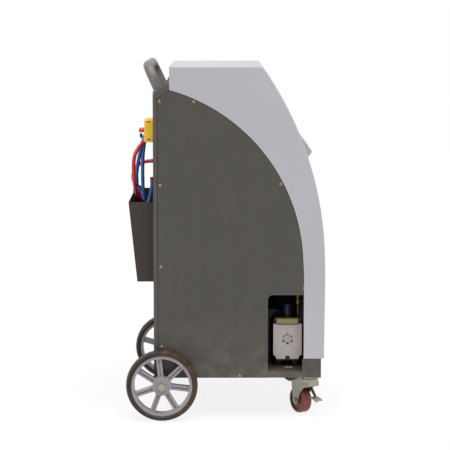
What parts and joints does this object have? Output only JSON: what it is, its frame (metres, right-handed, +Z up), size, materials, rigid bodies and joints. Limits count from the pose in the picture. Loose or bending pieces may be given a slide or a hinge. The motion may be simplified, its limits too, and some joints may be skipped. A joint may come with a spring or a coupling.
{
  "type": "air conditioning recharge station",
  "caption": "Upright wheeled service station with a curved front cover, coloured service hoses in a rear basket, a vacuum pump window and a pull handle.",
  "frame": {"origin": "middle of the overall box at floor level", "axes": "+X to the front with the curved cover, -X to the pull handle and hoses, +Z up"},
  "size_m": [0.5604, 0.632, 0.998],
  "materials": {
    "side_paint": "satin",
    "cover_paint": "satin",
    "dark_paint": "matte",
    "yellow_plastic": "glossy",
    "red_plastic": "glossy",
    "blue_plastic": "glossy",
    "black_plastic": "matte",
    "glass": "clear",
    "dial_white": "matte",
    "screen": "glossy",
    "handle_paint": "satin",
    "zinc": "satin",
    "yellow_zinc": "satin",
    "tyre_rubber": "matte",
    "caster_tread": "matte",
    "rim_plastic": "satin",
    "cast_aluminium": "matte",
    "tank_paint": "satin",
    "black_paint": "satin",
    "pump_blue": "satin",
    "brass": "satin",
    "copper": "satin",
    "fin_aluminium": "satin",
    "bottle_plastic": "satin",
    "red_rubber": "satin",
    "blue_rubber": "satin",
    "nickel": "satin"
  },
  "bodies": {
    "station": {"base_tray": "dark_paint", "rear_panel": "side_paint", "side_panel_right": "side_paint", "side_panel_left": "side_paint", "front_cover": "cover_paint", "front_plinth": "side_paint", "control_panel": "black_plastic", "display": "screen", "keypad": "cover_paint", "gauge_cases": "nickel", "gauge_dials": "dial_white", "gauge_lenses": "glass", "pull_handle": "handle_paint", "hose_basket": "dark_paint", "switch_housing": "yellow_plastic", "power_inlet": "black_plastic", "axle": "zinc", "axle_brackets": "zinc", "caster_plates": "zinc", "equipment_shelf": "dark_paint", "scale": "zinc", "refrigerant_tank": "tank_paint", "compressor": "black_paint", "pump_cover": "cast_aluminium", "pump_sight_glass": "glass", "vacuum_pump": "cast_aluminium", "pump_filler_cap": "pump_blue", "filter_driers": "cover_paint", "valve_manifold": "brass", "condenser": "fin_aluminium", "fan_frame": "black_paint", "electronics_box": "dark_paint", "oil_bottles": "bottle_plastic", "copper_pipes": "copper", "hose_ports": "brass", "coupler_holder": "dark_paint", "high_coupler": "black_plastic", "low_coupler": "black_plastic", "red_hose": "red_rubber", "blue_hose": "blue_rubber", "red_hose_coil": "red_rubber", "blue_hose_coil": "blue_rubber", "panel_screws": "yellow_zinc", "hex_bolts": "zinc"},
    "rear_wheel_right": {"rear_tyre_right": "tyre_rubber", "rear_rim_right": "rim_plastic"},
    "rear_wheel_left": {"rear_tyre_left": "tyre_rubber", "rear_rim_left": "rim_plastic"},
    "caster_swivel_right": {"caster_fork_right": "zinc"},
    "caster_swivel_left": {"caster_fork_left": "zinc"},
    "caster_roller_right": {"caster_wheel_right": "caster_tread"},
    "caster_roller_left": {"caster_wheel_left": "caster_tread"},
    "brake_right": {"brake_pedal_right": "zinc"},
    "brake_left": {"brake_pedal_left": "zinc"},
    "fan": {"fan_rotor": "black_plastic"},
    "switch": {"switch_knob": "red_plastic"},
    "low_pointer": {"low_needle": "blue_plastic"},
    "high_pointer": {"high_needle": "red_plastic"},
    "high_knob": {"high_coupler_knob": "red_plastic"},
    "low_knob": {"low_coupler_knob": "blue_plastic"}
  },
  "joints": [
    {"name": "rear_wheel_right_spin", "type": "hinge", "parent": "station", "child": "rear_wheel_right", "pos_m": [-0.1777, -0.287, 0.1], "axis": [0, 1, 0], "continuous": true},
    {"name": "rear_wheel_left_spin", "type": "hinge", "parent": "station", "child": "rear_wheel_left", "pos_m": [-0.1777, 0.287, 0.1], "axis": [0, 1, 0], "continuous": true},
    {"name": "caster_swivel_right", "type": "hinge", "parent": "station", "child": "caster_swivel_right", "pos_m": [0.2342, -0.215, 0.1], "axis": [0, 0, 1], "continuous": true},
    {"name": "caster_roll_right", "type": "hinge", "parent": "caster_swivel_right", "child": "caster_roller_right", "pos_m": [0.21378, -0.18295, 0.0375], "axis": [0.8434, 0.5373, 0], "continuous": true},
    {"name": "brake_pedal_right", "type": "hinge", "parent": "caster_swivel_right", "child": "brake_right", "pos_m": [0.22775, -0.20488, 0.07], "axis": [0.8434, 0.5373, 0], "range_deg": [0, 15]},
    {"name": "caster_swivel_left", "type": "hinge", "parent": "station", "child": "caster_swivel_left", "pos_m": [0.2342, 0.215, 0.1], "axis": [0, 0, 1], "continuous": true},
    {"name": "caster_roll_left", "type": "hinge", "parent": "caster_swivel_left", "child": "caster_roller_left", "pos_m": [0.20596, 0.24043, 0.0375], "axis": [0.6691, 0.7431, 0], "continuous": true},
    {"name": "brake_pedal_left", "type": "hinge", "parent": "caster_swivel_left", "child": "brake_left", "pos_m": [0.22528, 0.22303, 0.07], "axis": [0.6691, 0.7431, 0], "range_deg": [0, 15]},
    {"name": "fan_spin", "type": "hinge", "parent": "station", "child": "fan", "pos_m": [-0.1489, 0, 0.256], "axis": [1, 0, 0], "continuous": true},
    {"name": "switch_turn", "type": "hinge", "parent": "station", "child": "switch", "pos_m": [-0.2277, -0.15, 0.8034], "axis": [1, 0, 0], "range_deg": [0, 90]},
    {"name": "low_needle_swing", "type": "hinge", "parent": "station", "child": "low_pointer", "pos_m": [0.15667, -0.132, 0.88629], "axis": [-0.8832, 0, -0.469], "range_deg": [0, 270], "stiffness_Nm_per_rad": 0.002},
    {"name": "high_needle_swing", "type": "hinge", "parent": "station", "child": "high_pointer", "pos_m": [0.15667, 0.132, 0.88629], "axis": [-0.8832, 0, -0.469], "range_deg": [0, 270], "stiffness_Nm_per_rad": 0.002},
    {"name": "high_knob_turn", "type": "hinge", "parent": "station", "child": "high_knob", "pos_m": [-0.2137, -0.0863, 0.782], "axis": [0, 1, 0], "range_deg": [0, 540]},
    {"name": "low_knob_turn", "type": "hinge", "parent": "station", "child": "low_knob", "pos_m": [-0.2547, -0.069, 0.625], "axis": [0, 1, 0], "range_deg": [0, 540]}
  ]
}
